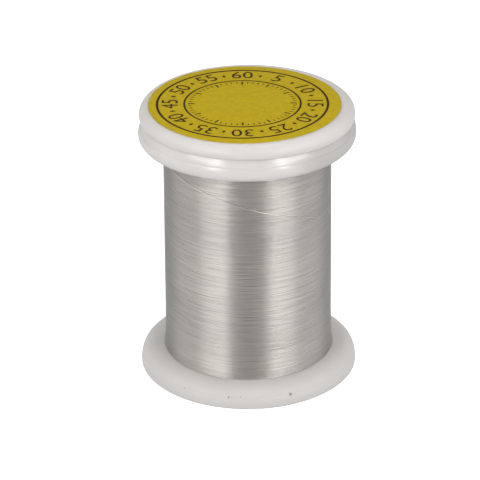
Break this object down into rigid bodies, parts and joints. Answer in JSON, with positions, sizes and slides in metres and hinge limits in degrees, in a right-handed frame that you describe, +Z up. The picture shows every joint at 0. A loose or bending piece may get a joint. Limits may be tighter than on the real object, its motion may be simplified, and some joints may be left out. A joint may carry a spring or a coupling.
{
  "type": "fishing line spool",
  "caption": "Flanged plastic spool wound with fine clear line, with a snap cap on top that lifts to pinch the line's end and a round paper label.",
  "frame": {"origin": "centre of the circle that the base flange stands on", "axes": "+Z up along the spool's axis to the label, front towards -Y"},
  "size_m": [0.0306, 0.0306, 0.0396],
  "materials": {
    "spool_plastic": "satin, milky and slightly translucent",
    "cap_plastic": "satin, milky and slightly translucent",
    "label_paper": "matte, printed",
    "line_nylon": "clear line, glossy, wound tight"
  },
  "bodies": {
    "spool": {"spool_body": "spool_plastic", "line_core": "line_nylon", "line_outer_turns": "line_nylon", "line_tail": "line_nylon"},
    "cap": {"snap_cap": "cap_plastic", "top_label": "label_paper"}
  },
  "joints": [
    {"name": "cap_lift", "type": "slide", "parent": "spool", "child": "cap", "axis": [0, 0, 1], "range_m": [0, 0.0025]}
  ]
}
